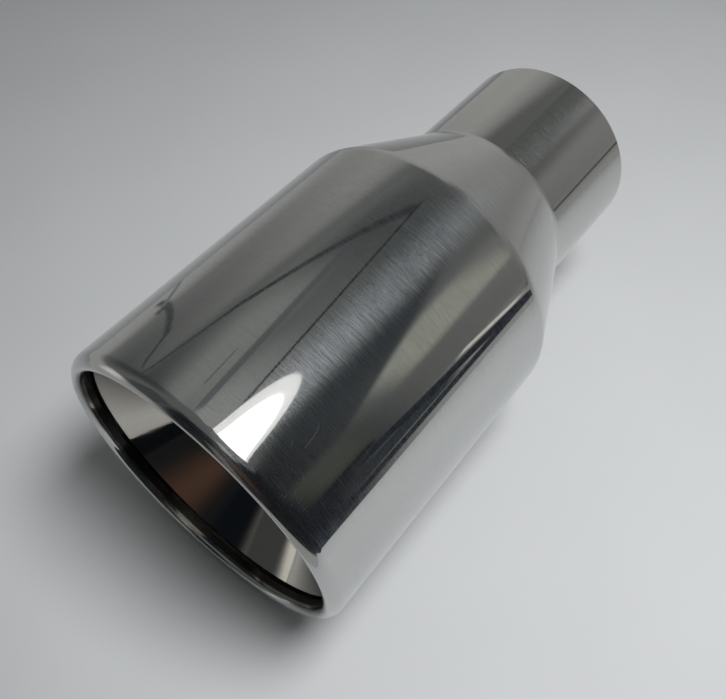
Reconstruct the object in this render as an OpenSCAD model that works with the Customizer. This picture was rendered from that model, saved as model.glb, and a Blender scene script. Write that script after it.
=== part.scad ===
// Double-wall exhaust tip: a mirror-polished outer shell with a rolled-in lip and a conical
// shoulder, an inlet tube that slips over the tail pipe, and an inner pipe that flares out behind the lip.
// The axis lies along Y, the mouth faces -Y, and the origin is the centre of the inlet's open end.

/* [Tail pipe] */
// Outer diameter of the tail pipe that the inlet slips over
pipe_d = 65; // [50:0.5:72]
// Radial clearance between the tail pipe and the inlet's bore
pipe_clearance = 0.3; // [0.1:0.05:0.5]

/* [Inlet tube] */
// Length of the inlet tube that shows outside the shoulder
inlet_len = 45.7; // [30:0.1:70]
// Length of the inlet tube that reaches on inside the shoulder
inlet_reach = 20; // [16:0.5:30]
// Wall of the inlet tube
inlet_wall = 1.5; // [1:0.1:2.5]
// Chamfer on the outer edge of the inlet's open end
inlet_chamfer = 0.3; // [0.1:0.1:0.8]

/* [Outer shell] */
// Outer diameter of the body
body_d = 101.6; // [92:0.1:125]
// Straight length of the body, from the shoulder's crease to the lip
body_len = 98.4; // [60:0.1:160]
// Length of the shoulder cone, from the inlet tube to the crease
cone_len = 38.6; // [30:0.1:60]
// Sheet thickness of the shell
shell_wall = 1.2; // [0.8:0.1:1.6]
// Inside bend radius of the crease between the shoulder and the body
crease_bend = 6.8; // [1:0.1:12]

/* [Rolled lip] */
// Inside bend radius of the lip's wide outer roll
lip_outer_bend = 3.3; // [2:0.1:6]
// Inside bend radius of the lip's tight inner roll
lip_inner_bend = 0.5; // [0.2:0.1:2]
// Angle that the wide outer roll turns through
lip_outer_turn = 60; // [40:1:70]
// Straight leg that returns inwards behind the lip
lip_leg = 3; // [1:0.1:8]

/* [Liner] */
// Radial gap between the shell and the rim of the liner's flare
liner_gap = 2.5; // [1.5:0.1:4]
// Gap along the axis between the lip's leg and the rim of the flare
liner_setback = 1.5; // [0.5:0.1:6]
// Sheet thickness of the liner
liner_wall = 1; // [0.6:0.1:1.5]
// Angle between the flare and the axis
liner_flare = 38; // [30:1:45]
// Inside bend radius between the liner's pipe and its flare
liner_bend = 4; // [1:0.5:8]
// Length of the liner that laps over the inlet tube
collar_lap = 10; // [6:0.5:12]

/* [Welds] */
// Radius that the ground neck weld is blended to
weld_blend = 5; // [2:0.5:12]
// Leg of the fillet weld between the inlet tube and the liner
liner_bead = 1.4; // [0.8:0.1:1.5]

/* [Hidden] */
$fn = 180;
arc_step = 7.5;

inlet_r = pipe_d / 2 + pipe_clearance + inlet_wall;
bore_r = inlet_r - inlet_wall;
inlet_end = inlet_len + inlet_reach;

body_r = body_d / 2;
crease_at = inlet_len + cone_len;
lip_at = crease_at + body_len;
cone_angle = atan((body_r - inlet_r) / cone_len);
cone_slant = shell_wall / cos(cone_angle);
shell_start = inlet_len + shell_wall / sin(cone_angle);
crease_r = crease_bend + shell_wall;
crease_centre = [body_r - crease_r, crease_at + crease_r * tan(cone_angle / 2)];

lip_outer_r = lip_outer_bend + shell_wall;
lip_inner_r = lip_inner_bend + shell_wall;
lip_centre = [body_r - lip_outer_r, lip_at];
lip_roll_shift = lip_outer_r - lip_inner_r;
roll_centre = lip_centre + lip_roll_shift * [cos(lip_outer_turn), sin(lip_outer_turn)];
leg_r = roll_centre[0] - lip_inner_r;
leg_end = roll_centre[1] - lip_leg;

liner_r = inlet_r + liner_wall;
liner_start = inlet_end - collar_lap;
rim_skew = liner_wall * [-cos(liner_flare), sin(liner_flare)];
rim_outer = [body_r - shell_wall - liner_gap, leg_end - liner_setback - rim_skew[1]];
flare_run = (rim_outer[0] - liner_r - liner_bend * (1 - cos(liner_flare))) / tan(liner_flare);
flare_centre = [liner_r + liner_bend, rim_outer[1] - flare_run - liner_bend * sin(liner_flare)];

blend_tangent = weld_blend * tan(cone_angle / 2);
blend_centre = [inlet_r + weld_blend, inlet_len - blend_tangent];

// Points along an arc, as [radius from the axis, distance from the inlet's open end]
function arc(centre, r, from, to) =
    let (steps = max(2, ceil(abs(to - from) / arc_step)))
    [for (i = [0:steps]) let (a = from + (to - from) * i / steps) centre + r * [cos(a), sin(a)]];

// Turns a section round the part's axis, with the mouth towards -Y
module turned(section) {
    rotate([90, 0, 0])
        rotate_extrude()
            polygon(section);
}

// One sheet: conical shoulder, crease, straight body and the lip rolled in with its return leg
module outer_shell() {
    outside = concat(
        [[inlet_r + cone_slant, shell_start]],
        arc(crease_centre, crease_r, -cone_angle, 0),
        arc(lip_centre, lip_outer_r, 0, lip_outer_turn),
        arc(roll_centre, lip_inner_r, lip_outer_turn, 180),
        [[leg_r, leg_end]]
    );
    inside = concat(
        [[leg_r + shell_wall, leg_end]],
        arc(roll_centre, lip_inner_bend, 180, lip_outer_turn),
        arc(lip_centre, lip_outer_bend, lip_outer_turn, 0),
        arc(crease_centre, crease_bend, 0, -cone_angle),
        [[inlet_r, shell_start]]
    );
    color([0.78, 0.79, 0.78]) turned(concat(outside, inside));
}

// Plain tube that the tail pipe enters, welded to the shoulder outside and the liner inside
module inlet_tube() {
    color([0.74, 0.75, 0.74]) turned([
        [bore_r, 0],
        [inlet_r - inlet_chamfer, 0],
        [inlet_r, inlet_chamfer],
        [inlet_r, inlet_end],
        [bore_r, inlet_end]
    ]);
}

// Inner pipe: it laps over the inlet tube, runs straight, and is flared out to stop behind the lip
module inner_liner() {
    outside = concat(
        [[liner_r, liner_start]],
        arc(flare_centre, liner_bend, 180, 180 - liner_flare),
        [rim_outer]
    );
    inside = concat(
        [rim_outer + rim_skew],
        arc(flare_centre, liner_bend + liner_wall, 180 - liner_flare, 180),
        [[inlet_r, liner_start]]
    );
    color([0.6, 0.59, 0.57]) turned(concat(outside, inside));
}

// Weld between the shoulder's edge and the inlet tube, ground to a smooth hollow blend
module neck_weld() {
    color([0.68, 0.68, 0.66]) turned(concat(
        arc(blend_centre, weld_blend, 180, 180 - cone_angle),
        [[inlet_r + cone_slant, shell_start], [inlet_r, shell_start]]
    ));
}

// Fillet weld in the corner between the inlet tube's inner end and the liner
module liner_weld() {
    color([0.5, 0.47, 0.44]) turned(concat(
        [[inlet_r, inlet_end]],
        arc([inlet_r, inlet_end], liner_bead, 90, 180)
    ));
}

outer_shell();
inlet_tube();
inner_liner();
neck_weld();
liner_weld();
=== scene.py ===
import math

import bpy
from mathutils import Matrix, Vector


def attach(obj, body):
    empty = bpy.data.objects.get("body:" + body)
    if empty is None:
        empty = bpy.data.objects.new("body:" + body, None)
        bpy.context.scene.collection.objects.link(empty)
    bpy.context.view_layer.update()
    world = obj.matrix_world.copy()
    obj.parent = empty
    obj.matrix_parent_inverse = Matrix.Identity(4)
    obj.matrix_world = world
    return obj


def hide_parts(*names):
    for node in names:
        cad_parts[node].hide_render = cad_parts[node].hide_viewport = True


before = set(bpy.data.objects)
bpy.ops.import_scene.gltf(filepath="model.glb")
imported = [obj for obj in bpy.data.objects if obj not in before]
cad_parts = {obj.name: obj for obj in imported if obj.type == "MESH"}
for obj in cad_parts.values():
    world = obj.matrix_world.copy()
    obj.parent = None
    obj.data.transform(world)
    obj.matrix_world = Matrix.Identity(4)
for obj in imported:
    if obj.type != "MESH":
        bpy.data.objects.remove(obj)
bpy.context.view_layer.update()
print("frame loaded:", ", ".join(sorted(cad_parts)))

mm = 0.001
tiny = 1e-6  # share of a step below which two points are one


def hexColour(code):  # sRGB hex to the linear colour that the shaders take
    channels = [int(code[i:i + 2], 16) / 255 for i in (1, 3, 5)]
    return [c / 12.92 if c <= 0.04045 else ((c + 0.055) / 1.055) ** 2.4 for c in channels] + [1.0]


def addNode(tree, kind, inputs=None, **settings):
    node = tree.nodes.new(kind)
    for name, value in settings.items():
        setattr(node, name, value)
    shown = [socket for socket in node.inputs if socket.enabled]
    for name, value in (inputs or {}).items():
        socket = shown[name] if isinstance(name, int) else next(s for s in shown if s.name == name)
        if isinstance(value, bpy.types.Node):  # a node stands for its first shown output
            value = next(output for output in value.outputs if output.enabled)
        if isinstance(value, bpy.types.NodeSocket):
            tree.links.new(value, socket)
        else:
            socket.default_value = value
    return node


# A section is a list of points in mm: radius from the axis, distance from the inlet's open end.
def arc(centre, radius, start, end, step=2.5):
    count = max(2, math.ceil(abs(end - start) / step))
    points = []
    for i in range(count + 1):
        angle = math.radians(start + (end - start) * i / count)
        points.append((centre[0] + radius * math.cos(angle), centre[1] + radius * math.sin(angle)))
    return points


def fillGaps(points, longest):
    # long straight stretches get points of their own; the last point and doubled ones are left out
    filled = []
    for a, b in zip(points, points[1:]):
        count = math.ceil(math.dist(a, b) / longest - tiny)
        filled += [(a[0] + (b[0] - a[0]) * i / count, a[1] + (b[1] - a[1]) * i / count)
                   for i in range(count)]
    return filled


# Longest stretch between two points, in mm, and steps of the bends, in degrees: fine where they show.
fineness = {"shown": 2.5, "hidden": 8, "crease": 2, "innerRoll": 4, "hiddenRoll": 12, "hiddenBend": 6,
            "blend": 1.5, "bead": 10}

inlet = {"pipe": 65.0, "clearance": 0.3, "wall": 1.5, "length": 45.7, "reach": 20.0, "chamfer": 0.3}
inletOuter = inlet["pipe"] / 2 + inlet["clearance"] + inlet["wall"]
inletBore = inletOuter - inlet["wall"]
inletEnd = inlet["length"] + inlet["reach"]

shell = {"diameter": 101.6, "bodyLength": 98.4, "coneLength": 38.6, "wall": 1.2, "creaseBend": 6.8,
         "lipOuterBend": 3.3, "lipInnerBend": 0.5, "lipOuterTurn": 60.0, "lipLeg": 3.0}
bodyRadius = shell["diameter"] / 2
creaseAt = inlet["length"] + shell["coneLength"]
lipAt = creaseAt + shell["bodyLength"]
coneAngle = math.degrees(math.atan((bodyRadius - inletOuter) / shell["coneLength"]))
shellStart = inlet["length"] + shell["wall"] / math.sin(math.radians(coneAngle))
shellStartRadius = inletOuter + shell["wall"] / math.cos(math.radians(coneAngle))
creaseRadius = shell["creaseBend"] + shell["wall"]
creaseCentre = (bodyRadius - creaseRadius,
                creaseAt + creaseRadius * math.tan(math.radians(coneAngle / 2)))
lipOuterRadius = shell["lipOuterBend"] + shell["wall"]
lipInnerRadius = shell["lipInnerBend"] + shell["wall"]
lipCentre = (bodyRadius - lipOuterRadius, lipAt)
lipTurn = math.radians(shell["lipOuterTurn"])
rollCentre = (lipCentre[0] + (lipOuterRadius - lipInnerRadius) * math.cos(lipTurn),
              lipCentre[1] + (lipOuterRadius - lipInnerRadius) * math.sin(lipTurn))
legRadius = rollCentre[0] - lipInnerRadius
legEnd = rollCentre[1] - shell["lipLeg"]


def shellSection():
    turn = shell["lipOuterTurn"]
    outside = fillGaps([(shellStartRadius, shellStart)]
                       + arc(creaseCentre, creaseRadius, -coneAngle, 0, fineness["crease"])
                       + arc(lipCentre, lipOuterRadius, 0, turn)
                       + arc(rollCentre, lipInnerRadius, turn, 180, fineness["innerRoll"])
                       + [(legRadius, legEnd), (legRadius + shell["wall"], legEnd)], fineness["shown"])
    inside = fillGaps([(legRadius + shell["wall"], legEnd)]
                      + arc(rollCentre, shell["lipInnerBend"], 180, turn, fineness["hiddenRoll"])
                      + arc(lipCentre, shell["lipOuterBend"], turn, 0, fineness["hiddenBend"])
                      + arc(creaseCentre, shell["creaseBend"], 0, -coneAngle, fineness["hiddenBend"])
                      + [(inletOuter, shellStart), (shellStartRadius, shellStart)], fineness["hidden"])
    return outside + inside


def inletSection():
    return fillGaps([(inletBore, 0), (inletOuter - inlet["chamfer"], 0), (inletOuter, inlet["chamfer"]),
                     (inletOuter, inletEnd), (inletBore, inletEnd), (inletBore, 0)], fineness["shown"])


liner = {"gap": 2.5, "setback": 1.5, "wall": 1.0, "flare": 38.0, "bend": 4.0, "collarLap": 10.0}
linerOuter = inletOuter + liner["wall"]
linerStart = inletEnd - liner["collarLap"]
flareTurn = math.radians(liner["flare"])
rimSkew = (-liner["wall"] * math.cos(flareTurn), liner["wall"] * math.sin(flareTurn))
rimOuter = (bodyRadius - shell["wall"] - liner["gap"], legEnd - liner["setback"] - rimSkew[1])
flareRise = rimOuter[0] - linerOuter - liner["bend"] * (1 - math.cos(flareTurn))
flareRun = flareRise / math.tan(flareTurn)
flareCentre = (linerOuter + liner["bend"],
               rimOuter[1] - flareRun - liner["bend"] * math.sin(flareTurn))


def linerSection():
    flare, outerBend = liner["flare"], liner["bend"] + liner["wall"]
    return fillGaps([(linerOuter, linerStart)]
                    + arc(flareCentre, liner["bend"], 180, 180 - flare)
                    + [rimOuter, (rimOuter[0] + rimSkew[0], rimOuter[1] + rimSkew[1])]
                    + arc(flareCentre, outerBend, 180 - flare, 180)
                    + [(inletOuter, linerStart), (linerOuter, linerStart)], fineness["shown"])


welds = {"neckBlend": 5.0, "linerBead": 1.4, "ripples": 110, "rippleHeight": 0.06}


def neckWeldSection():
    blend = welds["neckBlend"]
    centre = (inletOuter + blend, inlet["length"] - blend * math.tan(math.radians(coneAngle / 2)))
    return (arc(centre, blend, 180, 180 - coneAngle, fineness["blend"])
            + [(shellStartRadius, shellStart), (inletOuter, shellStart)])


def linerWeldSection():
    corner = (inletOuter, inletEnd)
    return [corner] + arc(corner, welds["linerBead"], 90, 180, fineness["bead"])


turning = {"coreRadius": 40.0, "steps": 288, "sharpAngle": 30.0}


def buildTurnTree():
    # Carries a section round the axis, and ripples it round the circle where it is a weld.
    tree = bpy.data.node_groups.new("turn a section", "GeometryNodeTree")
    face = tree.interface
    face.new_socket("Geometry", in_out="OUTPUT", socket_type="NodeSocketGeometry")
    face.new_socket("Geometry", in_out="INPUT", socket_type="NodeSocketGeometry")
    face.new_socket("Steps", in_out="INPUT", socket_type="NodeSocketInt")
    face.new_socket("Core Radius", in_out="INPUT", socket_type="NodeSocketFloat")
    face.new_socket("Sharp Angle", in_out="INPUT", socket_type="NodeSocketFloat")
    face.new_socket("Ripples", in_out="INPUT", socket_type="NodeSocketInt")
    face.new_socket("Ripple Height", in_out="INPUT", socket_type="NodeSocketFloat")
    face.new_socket("Finish", in_out="INPUT", socket_type="NodeSocketMaterial")
    given = addNode(tree, "NodeGroupInput").outputs
    section = addNode(tree, "GeometryNodeMeshToCurve", {"Mesh": given["Geometry"]})
    circle = addNode(tree, "GeometryNodeCurvePrimitiveCircle",
                     {"Resolution": given["Steps"], "Radius": given["Core Radius"]})
    upright = addNode(tree, "GeometryNodeSetCurveNormal", {"Curve": circle}, mode="Z_UP")
    ring = addNode(tree, "GeometryNodeCurveToMesh", {"Curve": upright, "Profile Curve": section})
    laid = addNode(tree, "GeometryNodeTransform",
                   {"Geometry": ring, "Rotation": (math.pi / 2, 0, 0)})
    # ripples run along the bead: angle round the axis, times their count
    place = addNode(tree, "ShaderNodeSeparateXYZ", {0: addNode(tree, "GeometryNodeInputPosition")})
    angle = addNode(tree, "ShaderNodeMath", {0: place.outputs["X"], 1: place.outputs["Z"]},
                    operation="ARCTAN2")
    phase = addNode(tree, "ShaderNodeMath", {0: angle, 1: given["Ripples"]}, operation="MULTIPLY")
    wave = addNode(tree, "ShaderNodeMath", {0: phase}, operation="SINE")
    height = addNode(tree, "ShaderNodeMath", {0: wave, 1: given["Ripple Height"]},
                     operation="MULTIPLY")
    push = addNode(tree, "ShaderNodeVectorMath",
                   {0: addNode(tree, "GeometryNodeInputNormal"), "Scale": height}, operation="SCALE")
    rippled = addNode(tree, "GeometryNodeSetPosition", {"Geometry": laid, "Offset": push})
    bend = addNode(tree, "GeometryNodeInputMeshEdgeAngle")
    soft = addNode(tree, "FunctionNodeCompare",
                   {0: bend.outputs["Unsigned Angle"], 1: given["Sharp Angle"]},
                   data_type="FLOAT", operation="LESS_THAN")
    faces = addNode(tree, "GeometryNodeSetShadeSmooth", {"Geometry": rippled}, domain="FACE")
    edges = addNode(tree, "GeometryNodeSetShadeSmooth",
                    {"Geometry": faces, "Shade Smooth": soft}, domain="EDGE")
    real = addNode(tree, "GeometryNodeRealizeInstances", {"Geometry": edges})
    finished = addNode(tree, "GeometryNodeSetMaterial",
                       {"Geometry": real, "Material": given["Finish"]})
    addNode(tree, "NodeGroupOutput", {"Geometry": finished})
    return tree


def turnPiece(name, section, finish, node, ripples=0, rippleHeight=0.0):
    core = turning["coreRadius"]
    # taken backwards, so that the faces look outwards
    points = [((radius - core) * mm, -along * mm, 0) for radius, along in reversed(section)]
    edges = [(i, (i + 1) % len(points)) for i in range(len(points))]
    sketch = bpy.data.meshes.new(name + "_section")
    sketch.from_pydata(points, edges, [])
    maker = bpy.data.objects.new(name + "_section", sketch)
    bpy.context.scene.collection.objects.link(maker)
    modifier = maker.modifiers.new("turn", "NODES")
    modifier.node_group = turnTree
    values = {"Steps": turning["steps"], "Core Radius": core * mm,
              "Sharp Angle": math.radians(turning["sharpAngle"]),
              "Ripples": ripples, "Ripple Height": rippleHeight * mm, "Finish": finish}
    for item in turnTree.interface.items_tree:
        if item.in_out == "INPUT" and item.name in values:
            modifier[item.identifier] = values[item.name]
    evaluated = maker.evaluated_get(bpy.context.evaluated_depsgraph_get())
    piece = bpy.data.objects.new(name, bpy.data.meshes.new_from_object(evaluated))
    bpy.data.objects.remove(maker)
    bpy.context.scene.collection.objects.link(piece)
    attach(piece, "root")
    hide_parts(node)
    print(name, "turned:", sum(len(p.vertices) - 2 for p in piece.data.polygons), "triangles")


def newMaterial(name):
    material = bpy.data.materials.new(name)
    material.use_nodes = True
    tree = material.node_tree
    tree.nodes.clear()
    shader = addNode(tree, "ShaderNodeBsdfPrincipled", {"Metallic": 1.0})
    addNode(tree, "ShaderNodeOutputMaterial", {"Surface": shader})
    place = addNode(tree, "ShaderNodeTexCoord").outputs["Object"]
    return material, tree, shader, place


def streaks(tree, place, around, along, detail=2.0):
    # noise drawn out round the axis or along it; around and along are feature sizes in mm
    density = (1 / (around * mm), 1 / (along * mm), 1 / (around * mm))
    scaled = addNode(tree, "ShaderNodeMapping", {"Vector": place, "Scale": density})
    return addNode(tree, "ShaderNodeTexNoise", {"Vector": scaled, "Scale": 1.0, "Detail": detail})


def spreadAlongAxis(tree, shader):
    # hairlines that run round the axis throw light along it: the highlight is drawn out as far as
    # the shader goes, a quarter turn from the tangent that runs round the axis
    around = addNode(tree, "ShaderNodeTangent", direction_type="RADIAL", axis="Y")
    tree.links.new(around.outputs[0], shader.inputs["Tangent"])
    shader.inputs["Anisotropic"].default_value = 1.0
    shader.inputs["Anisotropic Rotation"].default_value = 0.25


# Lengths in mm. The hairlines are far finer than the picture shows, so they are only a fine grain,
# and they crowd together in lines that are drawn as coarse as they need to show.
polish = {"tone": "#CDCCC7", "toneCloud": "#C6C5C1", "roughness": 0.02, "cloudRoughness": 0.035,
          "cloudSize": 35, "cloudFrom": 0.35, "cloudTo": 0.7, "hairlineSpacing": 0.03,
          "hairlineLength": 0.08, "hairlineRoughness": 0.37, "hairlineTone": "#BEC5D0",
          "hairlineFrom": 0.715, "hairlineTo": 0.8,
          "crowdSpacing": 0.3, "crowdLength": 6.0, "crowdWeight": 0.28, "neckThinning": 0.06,
          "waveLength": 24.0, "waveHeight": 0.0035,
          "scuffRoughness": 0.34, "scuffCore": 0.5, "scuffFade": 1.2,
          # lipInside is the dark colour painted on the rolled-in leg of the lip: painted shade of the
          # gap behind the roll
          "lipInside": "#5C5954", "lipInsideRoughness": 0.2, "lipInsideRadius": 46.4,
          "lipInsideFrom": 179.7, "lipInsideTo": 184.3, "lipInsideEdge": 0.2}
# short scuffs near the lip: both ends, as mm round from the top line towards +X and mm from the
# inlet's open end, and the width in mm
scuffs = [((31.1, 164.4), (31.8, 165.9), 0.10), ((31.8, 165.9), (32.1, 168.2), 0.13),
          ((32.1, 168.2), (32.4, 170.9), 0.12), ((29.1, 171.7), (29.8, 173.2), 0.08),
          ((27.6, 182.5), (27.7, 182.6), 0.22), ((37.0, 175.6), (37.2, 176.2), 0.14),
          ((36.7, 177.7), (36.8, 178.2), 0.08), ((37.9, 179.2), (38.1, 179.8), 0.14),
          ((36.9, 181.6), (37.0, 182.5), 0.12), ((36.0, 182.3), (36.2, 182.7), 0.10),
          ((40.1, 178.5), (40.5, 180.8), 0.08), ((39.3, 181.9), (39.5, 182.2), 0.18),
          ((39.1, 179.6), (39.3, 180.5), 0.07), ((42.6, 180.3), (42.8, 180.8), 0.12)]


def mirrorPolishedStainless():
    # 304 stainless sheet, buffed to a mirror on a lathe: what shows is the room, drawn out a
    # little along the axis by hairlines that run round it, and a few scuffs near the mouth
    material, tree, shader, place = newMaterial("mirror-polished 304 stainless")
    cloud = addNode(tree, "ShaderNodeTexNoise",
                    {"Vector": place, "Scale": 1 / (polish["cloudSize"] * mm), "Detail": 3.0})
    hairlines = streaks(tree, place, polish["hairlineLength"], polish["hairlineSpacing"], 0.0)
    crowds = streaks(tree, place, polish["crowdLength"], polish["crowdSpacing"])
    crowded = addNode(tree, "ShaderNodeMath", {0: crowds, 1: polish["crowdWeight"], 2: hairlines},
                      operation="MULTIPLY_ADD")
    waves = addNode(tree, "ShaderNodeTexNoise",
                    {"Vector": place, "Scale": 1 / (polish["waveLength"] * mm), "Detail": 1.0})

    position = addNode(tree, "ShaderNodeSeparateXYZ", {0: place})
    turn = addNode(tree, "ShaderNodeMath", {0: position.outputs["X"], 1: position.outputs["Z"]},
                   operation="ARCTAN2")
    around = addNode(tree, "ShaderNodeMath", {0: turn, 1: bodyRadius}, operation="MULTIPLY")
    along = addNode(tree, "ShaderNodeMath", {0: position.outputs["Y"], 1: -1 / mm},
                    operation="MULTIPLY")
    thinned = addNode(tree, "ShaderNodeMapRange",
                      {"Value": along, "From Min": inlet["length"], "From Max": creaseAt,
                       "To Min": polish["neckThinning"], "To Max": 0.0})
    spread = addNode(tree, "ShaderNodeMath", {0: crowded, 1: thinned}, operation="SUBTRACT")
    scratched = addNode(tree, "ShaderNodeMapRange",
                        {"Value": spread, "From Min": polish["hairlineFrom"],
                         "From Max": polish["hairlineTo"]})
    flat = addNode(tree, "ShaderNodeCombineXYZ", {"X": around, "Y": along})
    scuffed = 0.0
    for start, end, width in scuffs:
        reach = Vector(end) - Vector(start)
        way = reach.normalized()
        offset = addNode(tree, "ShaderNodeVectorMath", {0: flat, 1: (*start, 0)},
                         operation="SUBTRACT")
        run = addNode(tree, "ShaderNodeVectorMath", {0: offset, 1: (*way, 0)},
                      operation="DOT_PRODUCT")
        held = addNode(tree, "ShaderNodeClamp",
                       {"Value": run.outputs["Value"], "Min": 0.0, "Max": reach.length})
        nearest = addNode(tree, "ShaderNodeVectorMath", {0: (*way, 0), "Scale": held},
                          operation="SCALE")
        gap = addNode(tree, "ShaderNodeVectorMath", {0: offset, 1: nearest}, operation="DISTANCE")
        mark = addNode(tree, "ShaderNodeMapRange",
                       {"Value": gap.outputs["Value"], "From Min": width * polish["scuffCore"],
                        "From Max": width * polish["scuffFade"], "To Min": 1.0, "To Max": 0.0})
        scuffed = addNode(tree, "ShaderNodeMath", {0: scuffed, 1: mark}, operation="MAXIMUM")
    haze = addNode(tree, "ShaderNodeMapRange",
                   {"Value": cloud, "From Min": polish["cloudFrom"], "From Max": polish["cloudTo"],
                    "To Min": polish["roughness"], "To Max": polish["cloudRoughness"]})
    brushed = addNode(tree, "ShaderNodeMix",
                      {0: scratched, 1: haze, 2: polish["hairlineRoughness"]}, data_type="FLOAT")
    worn = addNode(tree, "ShaderNodeMix",
                   {0: scuffed, 1: brushed, 2: polish["scuffRoughness"]}, data_type="FLOAT")
    # the rolled-in leg of the lip is made rougher, and its colour is darkened as painted shade of the
    # gap between the roll and the liner
    soften = polish["lipInsideEdge"]
    across = addNode(tree, "ShaderNodeVectorMath", {0: place, 1: (1, 0, 1)}, operation="MULTIPLY")
    fromAxis = addNode(tree, "ShaderNodeVectorMath", {0: across}, operation="LENGTH")
    inner = addNode(tree, "ShaderNodeMapRange",
                    {"Value": fromAxis.outputs["Value"],
                     "From Min": (polish["lipInsideRadius"] + soften) * mm,
                     "From Max": (polish["lipInsideRadius"] - soften) * mm})
    atLip = addNode(tree, "ShaderNodeMath", {0: along, 1: polish["lipInsideFrom"]},
                    operation="GREATER_THAN")
    innerLip = addNode(tree, "ShaderNodeMath", {0: inner, 1: atLip}, operation="MULTIPLY")
    behindRoll = addNode(tree, "ShaderNodeMapRange",
                         {"Value": along, "From Min": polish["lipInsideTo"] + soften,
                          "From Max": polish["lipInsideTo"] - soften})
    shadedRolledLeg = addNode(tree, "ShaderNodeMath", {0: innerLip, 1: behindRoll}, operation="MULTIPLY")
    rough = addNode(tree, "ShaderNodeMix", {0: shadedRolledLeg, 1: worn, 2: polish["lipInsideRoughness"]},
                    data_type="FLOAT")
    tone = addNode(tree, "ShaderNodeMix", {0: cloud, 1: hexColour(polish["tone"]),
                                           2: hexColour(polish["toneCloud"])}, data_type="RGBA")
    broad = addNode(tree, "ShaderNodeBump", {"Height": waves, "Distance": polish["waveHeight"] * mm})
    cooled = addNode(tree, "ShaderNodeMix", {0: scratched, 1: tone.outputs[2],
                                             2: hexColour(polish["hairlineTone"])}, data_type="RGBA")
    # painted shade: the rolled-in leg of the lip is darkened where the gap between roll and liner lies
    # in shadow
    legPaintedShade = addNode(tree, "ShaderNodeMix", {0: shadedRolledLeg, 1: cooled.outputs[2],
                                             2: hexColour(polish["lipInside"])}, data_type="RGBA")
    tree.links.new(legPaintedShade.outputs[2], shader.inputs["Base Color"])
    tree.links.new(rough.outputs[0], shader.inputs["Roughness"])
    tree.links.new(broad.outputs[0], shader.inputs["Normal"])
    spreadAlongAxis(tree, shader)
    return material


# Lengths in mm. Real die lines are finer: these are drawn as coarse as they need to show.
drawn = {"tone": "#D0CCC4", "toneStreak": "#BEB9B0", "roughness": 0.03, "streakRoughness": 0.07,
         "lineSpacing": 0.7, "lineLength": 90.0, "lineHeight": 0.003,
         "bandSpacing": 5.0, "bandLength": 160.0, "bandWeight": 4.0, "bandFrom": 0.3, "bandTo": 0.7}


def drawnStainless():
    # 304 stainless tube as drawn, then flared at the mouth: bright, with die lines along the axis
    material, tree, shader, place = newMaterial("drawn 304 stainless")
    dieLines = streaks(tree, place, drawn["lineSpacing"], drawn["lineLength"], 3.0)
    bands = streaks(tree, place, drawn["bandSpacing"], drawn["bandLength"])
    both = addNode(tree, "ShaderNodeMath", {0: bands, 1: drawn["bandWeight"], 2: dieLines},
                   operation="MULTIPLY_ADD")
    bump = addNode(tree, "ShaderNodeBump", {"Height": both, "Distance": drawn["lineHeight"] * mm})
    tone = addNode(tree, "ShaderNodeMix", {0: dieLines, 1: hexColour(drawn["tone"]),
                                           2: hexColour(drawn["toneStreak"])}, data_type="RGBA")
    rough = addNode(tree, "ShaderNodeMapRange",
                    {"Value": bands, "From Min": drawn["bandFrom"], "From Max": drawn["bandTo"],
                     "To Min": drawn["roughness"], "To Max": drawn["streakRoughness"]})
    tree.links.new(tone.outputs[2], shader.inputs["Base Color"])
    tree.links.new(rough.outputs[0], shader.inputs["Roughness"])
    tree.links.new(bump.outputs[0], shader.inputs["Normal"])
    return material


ground = {"tone": "#C6C7C5", "crestRoughness": 0.105, "hollowRoughness": 0.049,
          "waveLength": 7.0, "waveHeight": 0.02, "waveFrom": 0.3, "waveTo": 0.7}


def groundWeldStainless():
    # the neck weld, ground flush and buffed: a mirror again, but with the wheel's waves left in it
    material, tree, shader, place = newMaterial("ground and buffed stainless weld")
    waves = addNode(tree, "ShaderNodeTexNoise",
                    {"Vector": place, "Scale": 1 / (ground["waveLength"] * mm), "Detail": 1.5})
    broad = addNode(tree, "ShaderNodeBump", {"Height": waves, "Distance": ground["waveHeight"] * mm})
    rough = addNode(tree, "ShaderNodeMapRange",
                    {"Value": waves, "From Min": ground["waveFrom"], "From Max": ground["waveTo"],
                     "To Min": ground["hollowRoughness"], "To Max": ground["crestRoughness"]})
    shader.inputs["Base Color"].default_value = hexColour(ground["tone"])
    tree.links.new(rough.outputs[0], shader.inputs["Roughness"])
    tree.links.new(broad.outputs[0], shader.inputs["Normal"])
    return material


rawWeld = {"bright": "#8C8984", "straw": "#8A7650", "blue": "#4C5568", "roughness": 0.38,
           "patchSize": 9, "blueFrom": 0.5, "blueTo": 0.68, "scaleSize": 0.6, "scaleHeight": 0.05}


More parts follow.
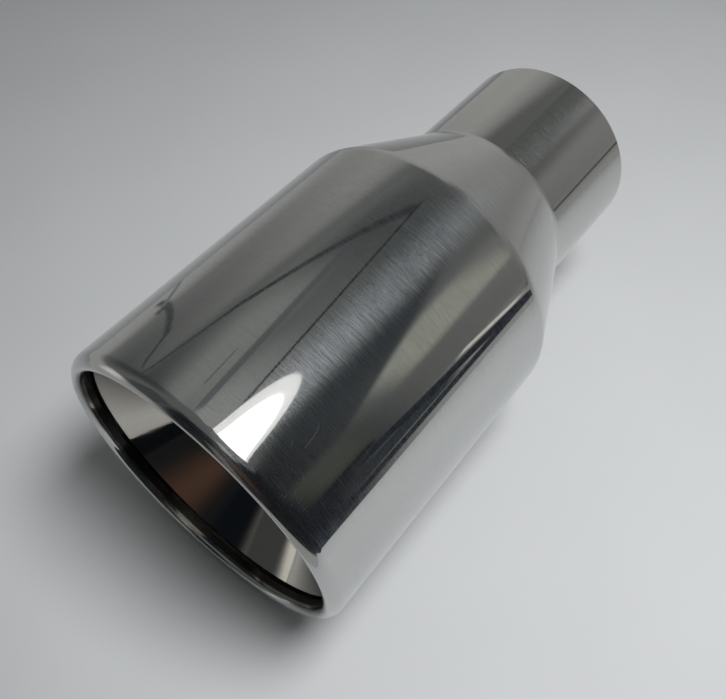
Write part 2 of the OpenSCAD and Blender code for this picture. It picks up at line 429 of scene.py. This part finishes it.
def rawWeldStainless():
    # TIG fillet left as welded: rippled, with straw and blue heat colours in patches
    material, tree, shader, place = newMaterial("raw TIG weld on stainless")
    patches = addNode(tree, "ShaderNodeTexNoise",
                      {"Vector": place, "Scale": 1 / (rawWeld["patchSize"] * mm), "Detail": 3.0})
    scale = addNode(tree, "ShaderNodeTexNoise",
                    {"Vector": place, "Scale": 1 / (rawWeld["scaleSize"] * mm), "Detail": 3.0})
    warm = addNode(tree, "ShaderNodeMix", {0: patches, 1: hexColour(rawWeld["bright"]),
                                           2: hexColour(rawWeld["straw"])}, data_type="RGBA")
    cool = addNode(tree, "ShaderNodeMapRange",
                   {"Value": patches, "From Min": rawWeld["blueFrom"], "From Max": rawWeld["blueTo"]})
    tone = addNode(tree, "ShaderNodeMix", {0: cool, 1: warm.outputs[2],
                                           2: hexColour(rawWeld["blue"])}, data_type="RGBA")
    bump = addNode(tree, "ShaderNodeBump",
                   {"Height": scale, "Distance": rawWeld["scaleHeight"] * mm})
    shader.inputs["Roughness"].default_value = rawWeld["roughness"]
    tree.links.new(tone.outputs[2], shader.inputs["Base Color"])
    tree.links.new(bump.outputs[0], shader.inputs["Normal"])
    return material


turnTree = buildTurnTree()
mirror = mirrorPolishedStainless()
turnPiece("outerShell", shellSection(), mirror, "outer_shell")
turnPiece("inletTube", inletSection(), mirror, "inlet_tube")
turnPiece("innerPipe", linerSection(), drawnStainless(), "inner_liner")
turnPiece("neckWeld", neckWeldSection(), groundWeldStainless(), "neck_weld")
turnPiece("linerWeld", linerWeldSection(), rawWeldStainless(), "liner_weld",
          welds["ripples"], welds["rippleHeight"])

# The camera sees plain walls. The metal mirrors a wall that changes tone at the horizon, between
# two heights in degrees, and the cards below. "lowestCeiling" keeps the ceiling off the horizon.
walls = {"seen": "#B9BBBC", "below": "#A3A4A2", "above": "#676968", "from": -4.0, "to": 3.0,
         "lowestCeiling": 0.02}

# Cards of light and dark that the mirror finish shows. "angles" cards are placed in degrees:
# round from +Y towards +X, and up from the horizon; "back" cards too, but counted from 0 to 360,
# so that they can cross -Y. "ceiling" cards lie on a flat ceiling one unit above the part, so
# their straight edges stay straight in the reflections.
room = [
    # ceiling, its darker strip and the far wall
    {"on": "angles", "at": (-52, 58), "half": (20, 12), "soft": (18, 20), "colour": "#909291"},
    {"on": "angles", "at": (-8, 80), "half": (30, 12), "soft": (30, 12), "colour": "#A5A7A7"},
    {"on": "ceiling", "at": (-0.20, 0.74), "half": (0.50, 0.13), "soft": (0.40, 0.22),
     "colour": "#4E5150"},
    {"on": "angles", "at": (-87, 34), "half": (22, 24), "soft": (24, 22), "colour": "#404241"},
    {"on": "angles", "at": (-8, 15), "half": (58, 21), "soft": (44, 8), "colour": "#909190"},
    {"on": "angles", "at": (-31, 10), "half": (20, 20), "soft": (30, 20), "colour": "#AEAFAD"},
    {"on": "angles", "at": (-3, 24), "half": (5, 15), "soft": (10, 12), "colour": "#747675"},
    {"on": "angles", "at": (33, 37), "half": (8, 9), "soft": (10, 12), "colour": "#6C6E6D"},
    {"on": "angles", "at": (53, 27), "half": (7, 8), "soft": (6, 5), "colour": "#AEB0A6"},
    {"on": "angles", "at": (4, 41), "half": (9, 6), "soft": (1.5, 6), "colour": "#606260"},
    {"on": "angles", "at": (42, -0.8), "half": (9, 1.0), "soft": (3, 0.7), "colour": "#565856"},
    {"on": "ceiling", "at": (1.75, 0.62), "half": (1.15, 0.25), "soft": (0.35, 0.10),
     "colour": "#3A3E41"},
    {"on": "angles", "at": (80, 18), "half": (13, 15), "soft": (12, 10), "colour": "#414447"},
    # behind the camera
    {"on": "back", "at": (138, 16), "half": (72, 35), "soft": (14, 4), "colour": "#1E1F21"},
    {"on": "back", "at": (145, -11), "half": (14, 7), "soft": (6, 2), "colour": "#0E1216"},
    {"on": "back", "at": (156, 53), "half": (9, 8), "soft": (10, 8), "colour": "#B0B0AC"},
    {"on": "back", "at": (163, 19), "half": (9, 13), "soft": (18, 20), "colour": "#4F3C33"},
    {"on": "back", "at": (181, 3), "half": (5, 16), "soft": (6, 10), "colour": "#706C68"},
    {"on": "back", "at": (196, 27), "half": (11, 11), "soft": (8, 10), "colour": "#12161C"},
    {"on": "back", "at": (223, 20), "half": (11, 22), "soft": (2.5, 12), "colour": "#464849"},
    {"on": "back", "at": (237, -6), "half": (7, 8), "soft": (10, 9), "colour": "#E2E2DE"},
    # a paler patch beside the dark corner at the right
    {"on": "angles", "at": (69.5, 18), "half": (3.5, 8), "soft": (5, 8), "colour": "#50524C"},
    # thin rails and joints of the ceiling, and one upright on the left
    {"on": "ceiling", "at": (-1.25, 0.50), "half": (0.27, 0.024), "soft": (0.02, 0.014),
     "turn": 22, "colour": "#404241"},
    {"on": "ceiling", "at": (-0.60, 0.68), "half": (0.46, 0.02), "soft": (0.02, 0.012),
     "turn": 11.4, "colour": "#2C2E2D"},
    {"on": "ceiling", "at": (-0.03, 0.56), "half": (0.26, 0.011), "soft": (0.02, 0.009),
     "turn": -59.7, "colour": "#16191A"},
    {"on": "ceiling", "at": (-0.307, 0.48), "half": (0.24, 0.03), "soft": (0.03, 0.01),
     "turn": -59.4, "colour": "#50555A", "share": 0.7},
    {"on": "ceiling", "at": (-0.383, 0.369), "half": (0.045, 0.004), "soft": (0.01, 0.004),
     "turn": -59, "colour": "#2A2C2C"},
    {"on": "angles", "at": (-70.9, 6), "half": (0.35, 17), "soft": (0.3, 3), "colour": "#3A3C3B"},
    {"on": "angles", "at": (-71.9, 26), "half": (0.35, 5.5), "soft": (0.3, 2),
     "turn": 14, "colour": "#3A3C3B"},
    {"on": "angles", "at": (-71.3, -1), "half": (0.6, 2), "soft": (0.5, 3), "colour": "#3E403E"},
    {"on": "angles", "at": (-69.8, -9), "half": (0.3, 7.5), "soft": (0.3, 2),
     "turn": 13, "colour": "#6A6C6B"},
    # black lamp stand at the right, and a bright edge above it
    {"on": "angles", "at": (65, -2.8), "half": (6, 3.2), "soft": (3, 1), "colour": "#34383B"},
    {"on": "angles", "at": (79, 10), "half": (5, 26), "soft": (4, 8), "colour": "#191D24"},
    {"on": "angles", "at": (72, 7.5), "half": (5, 1.2), "soft": (1, 0.8), "colour": "#191D24"},
    {"on": "angles", "at": (59, -1.6), "half": (11, 1.7), "soft": (1, 0.8),
     "turn": 33.7, "colour": "#191D24"},
    {"on": "angles", "at": (62.5, -8.3), "half": (13, 1.8), "soft": (1, 0.8),
     "turn": -4.6, "colour": "#191D24"},
    {"on": "angles", "at": (55.2, -0.4), "half": (3.8, 0.7), "soft": (1, 0.6),
     "turn": 41, "colour": "#F0F0EC"},
]


def buildRoom():
    world = bpy.data.worlds.new("studio room")
    bpy.context.scene.world = world
    world.use_nodes = True
    tree = world.node_tree
    tree.nodes.clear()
    direction = addNode(tree, "ShaderNodeTexCoord").outputs["Generated"]
    part = addNode(tree, "ShaderNodeSeparateXYZ", {0: direction})
    turn = addNode(tree, "ShaderNodeMath", {0: part.outputs["X"], 1: part.outputs["Y"]},
                   operation="ARCTAN2")
    roundDegrees = addNode(tree, "ShaderNodeMath", {0: turn}, operation="DEGREES")
    backDegrees = addNode(tree, "ShaderNodeMath", {0: roundDegrees, 1: 360.0, 2: 0.0},
                          operation="WRAP")
    rise = addNode(tree, "ShaderNodeMath", {0: part.outputs["Z"]}, operation="ARCSINE")
    riseDegrees = addNode(tree, "ShaderNodeMath", {0: rise}, operation="DEGREES")
    height = addNode(tree, "ShaderNodeMath", {0: part.outputs["Z"], 1: walls["lowestCeiling"]},
                     operation="MAXIMUM")
    ceilingX = addNode(tree, "ShaderNodeMath", {0: part.outputs["X"], 1: height}, operation="DIVIDE")
    ceilingY = addNode(tree, "ShaderNodeMath", {0: part.outputs["Y"], 1: height}, operation="DIVIDE")
    planes = {"angles": addNode(tree, "ShaderNodeCombineXYZ", {"X": roundDegrees, "Y": riseDegrees}),
              "back": addNode(tree, "ShaderNodeCombineXYZ", {"X": backDegrees, "Y": riseDegrees}),
              "ceiling": addNode(tree, "ShaderNodeCombineXYZ", {"X": ceilingX, "Y": ceilingY})}
    risen = addNode(tree, "ShaderNodeMapRange",
                    {"Value": riseDegrees, "From Min": walls["from"], "From Max": walls["to"]})
    light = addNode(tree, "ShaderNodeMix", {0: risen, 1: hexColour(walls["below"]),
                                            2: hexColour(walls["above"])}, data_type="RGBA").outputs[2]
    for card in room:
        own = addNode(tree, "ShaderNodeMapping",
                      {"Vector": planes[card["on"]], "Location": (*card["at"], 0),
                       "Rotation": (0, 0, math.radians(card.get("turn", 0))),
                       "Scale": (*card["half"], 1)}, vector_type="TEXTURE")
        away = addNode(tree, "ShaderNodeVectorMath", {0: own}, operation="ABSOLUTE")
        fade = [soft / half for soft, half in zip(card["soft"], card["half"])]
        edge = addNode(tree, "ShaderNodeMapRange",
                       {"Vector": away, "From Min": (1 + fade[0] / 2, 1 + fade[1] / 2, 1),
                        "From Max": (1 - fade[0] / 2, 1 - fade[1] / 2, 0)},
                       data_type="FLOAT_VECTOR", interpolation_type="SMOOTHSTEP")
        sides = addNode(tree, "ShaderNodeSeparateXYZ", {0: edge})
        cover = addNode(tree, "ShaderNodeMath", {0: sides.outputs["X"], 1: sides.outputs["Y"]},
                        operation="MULTIPLY")
        share = addNode(tree, "ShaderNodeMath", {0: cover, 1: card.get("share", 1.0)},
                        operation="MULTIPLY")
        light = addNode(tree, "ShaderNodeMix", {0: share, 1: light, 2: hexColour(card["colour"])},
                        data_type="RGBA").outputs[2]
    rays = addNode(tree, "ShaderNodeLightPath")
    seen = addNode(tree, "ShaderNodeMix", {0: rays.outputs["Is Camera Ray"], 1: light,
                                           2: hexColour(walls["seen"])}, data_type="RGBA")
    background = addNode(tree, "ShaderNodeBackground", {"Color": seen.outputs[2]})
    addNode(tree, "ShaderNodeOutputWorld", {"Surface": background})


# Round area lamps in mm, all facing down. The metal mirrors the panel and its dimmer rim, but not
# the fill.
lamps = {"panel": {"at": (187, -92, 499), "size": (212, 214), "level": 2.2, "mirrored": True},
         "rim": {"at": (180, -90, 500), "size": (268, 262), "level": 1.15, "mirrored": True},
         "fill": {"at": (180, -78, 500), "size": (230, 230), "level": 20.4, "mirrored": False}}


def addLamps():
    for name, lamp in lamps.items():
        data = bpy.data.lights.new(name, "AREA")
        data.shape = "ELLIPSE"
        data.size, data.size_y = lamp["size"][0] * mm, lamp["size"][1] * mm
        area = math.pi / 4 * data.size * data.size_y
        data.energy = math.pi * lamp["level"] * area  # watts that give this radiance
        light = bpy.data.objects.new(name, data)
        light.location = Vector(lamp["at"]) * mm
        light.visible_camera = False
        light.visible_glossy = lamp["mirrored"]
        bpy.context.scene.collection.objects.link(light)


# Corners of the pale table as the metal mirrors it, in mm; for the camera the floor goes on past them,
# and it reaches further on the far side. The table darkens towards its front edge: painted shade, as of
# a shadow falling from the camera's side.
table = {"mirrored": (-330, -260, 310, 330), "floor": 1600, "farFloor": 2400, "height": -50.8,
         "tone": "#CDCFD1", "toneDark": "#C6C8CA", "mottleSize": 60, "roughness": 0.6,
         "specular": 0.2, "shadeFrom": -230, "shadeTo": -350, "shadeTone": "#9C9EA0"}


def addTable():
    reach, farReach, z = table["floor"] * mm, table["farFloor"] * mm, table["height"] * mm
    mesh = bpy.data.meshes.new("table")
    mesh.from_pydata([(-reach, -reach, z), (reach, -reach, z), (reach, farReach, z),
                      (-reach, farReach, z)], [], [(0, 1, 2, 3)])
    board = bpy.data.objects.new("table", mesh)
    bpy.context.scene.collection.objects.link(board)
    material = bpy.data.materials.new("pale melamine table top")
    material.use_nodes = True
    tree = material.node_tree
    tree.nodes.clear()
    place = addNode(tree, "ShaderNodeTexCoord").outputs["Object"]
    mottle = addNode(tree, "ShaderNodeTexNoise",
                     {"Vector": place, "Scale": 1 / (table["mottleSize"] * mm), "Detail": 4.0})
    plain = addNode(tree, "ShaderNodeMix", {0: mottle, 1: hexColour(table["toneDark"]),
                                            2: hexColour(table["tone"])}, data_type="RGBA")
    at = addNode(tree, "ShaderNodeSeparateXYZ", {0: place})
    # painted shade: the table's colour darkens towards its front edge
    shade = addNode(tree, "ShaderNodeMapRange",
                    {"Value": at.outputs["Y"], "From Min": table["shadeFrom"] * mm,
                     "From Max": table["shadeTo"] * mm}, interpolation_type="SMOOTHSTEP")
    tone = addNode(tree, "ShaderNodeMix", {0: shade, 1: plain.outputs[2],
                                           2: hexColour(table["shadeTone"])}, data_type="RGBA")
    shader = addNode(tree, "ShaderNodeBsdfPrincipled",
                     {"Base Color": tone.outputs[2], "Roughness": table["roughness"],
                      "Specular IOR Level": table["specular"]})
    left, near, right, far = table["mirrored"]
    beyond = 0.0
    for axis, low, high in (("X", left, right), ("Y", near, far)):
        middle, half = (low + high) / 2 * mm, (high - low) / 2 * mm
        off = addNode(tree, "ShaderNodeMath", {0: at.outputs[axis], 1: middle}, operation="SUBTRACT")
        away = addNode(tree, "ShaderNodeMath", {0: off}, operation="ABSOLUTE")
        past = addNode(tree, "ShaderNodeMath", {0: away, 1: half}, operation="GREATER_THAN")
        beyond = addNode(tree, "ShaderNodeMath", {0: beyond, 1: past}, operation="MAXIMUM")
    rays = addNode(tree, "ShaderNodeLightPath")
    hidden = addNode(tree, "ShaderNodeMath", {0: beyond, 1: rays.outputs["Is Glossy Ray"]},
                     operation="MULTIPLY")
    clear = addNode(tree, "ShaderNodeBsdfTransparent")
    surface = addNode(tree, "ShaderNodeMixShader", {0: hidden, 1: shader, 2: clear})
    addNode(tree, "ShaderNodeOutputMaterial", {"Surface": surface})
    mesh.materials.append(material)


# Place, lens and sensor in mm; the nearest and farthest that it sees in metres.
camera = {"place": (94.958, -230.840, 201.538), "ahead": (-0.36184, 0.45789, -0.81204),
          "right": (0.78459, 0.62001, 0.0), "lens": 38.571, "sensor": 36.0, "near": 0.01, "far": 20}


def addCamera():
    data = bpy.data.cameras.new("camera")
    data.lens, data.sensor_width = camera["lens"], camera["sensor"]
    data.clip_start, data.clip_end = camera["near"], camera["far"]
    eye = bpy.data.objects.new("camera", data)
    right = Vector(camera["right"]).normalized()
    back = -Vector(camera["ahead"]).normalized()
    up = back.cross(right)
    turn = Matrix((right, up, back)).transposed()
    eye.matrix_world = Matrix.Translation(Vector(camera["place"]) * mm) @ turn.to_4x4()
    bpy.context.scene.collection.objects.link(eye)
    bpy.context.scene.camera = eye


buildRoom()
addLamps()
addTable()
addCamera()
bpy.context.scene.view_settings.view_transform = "Standard"
print("room, table and camera set")
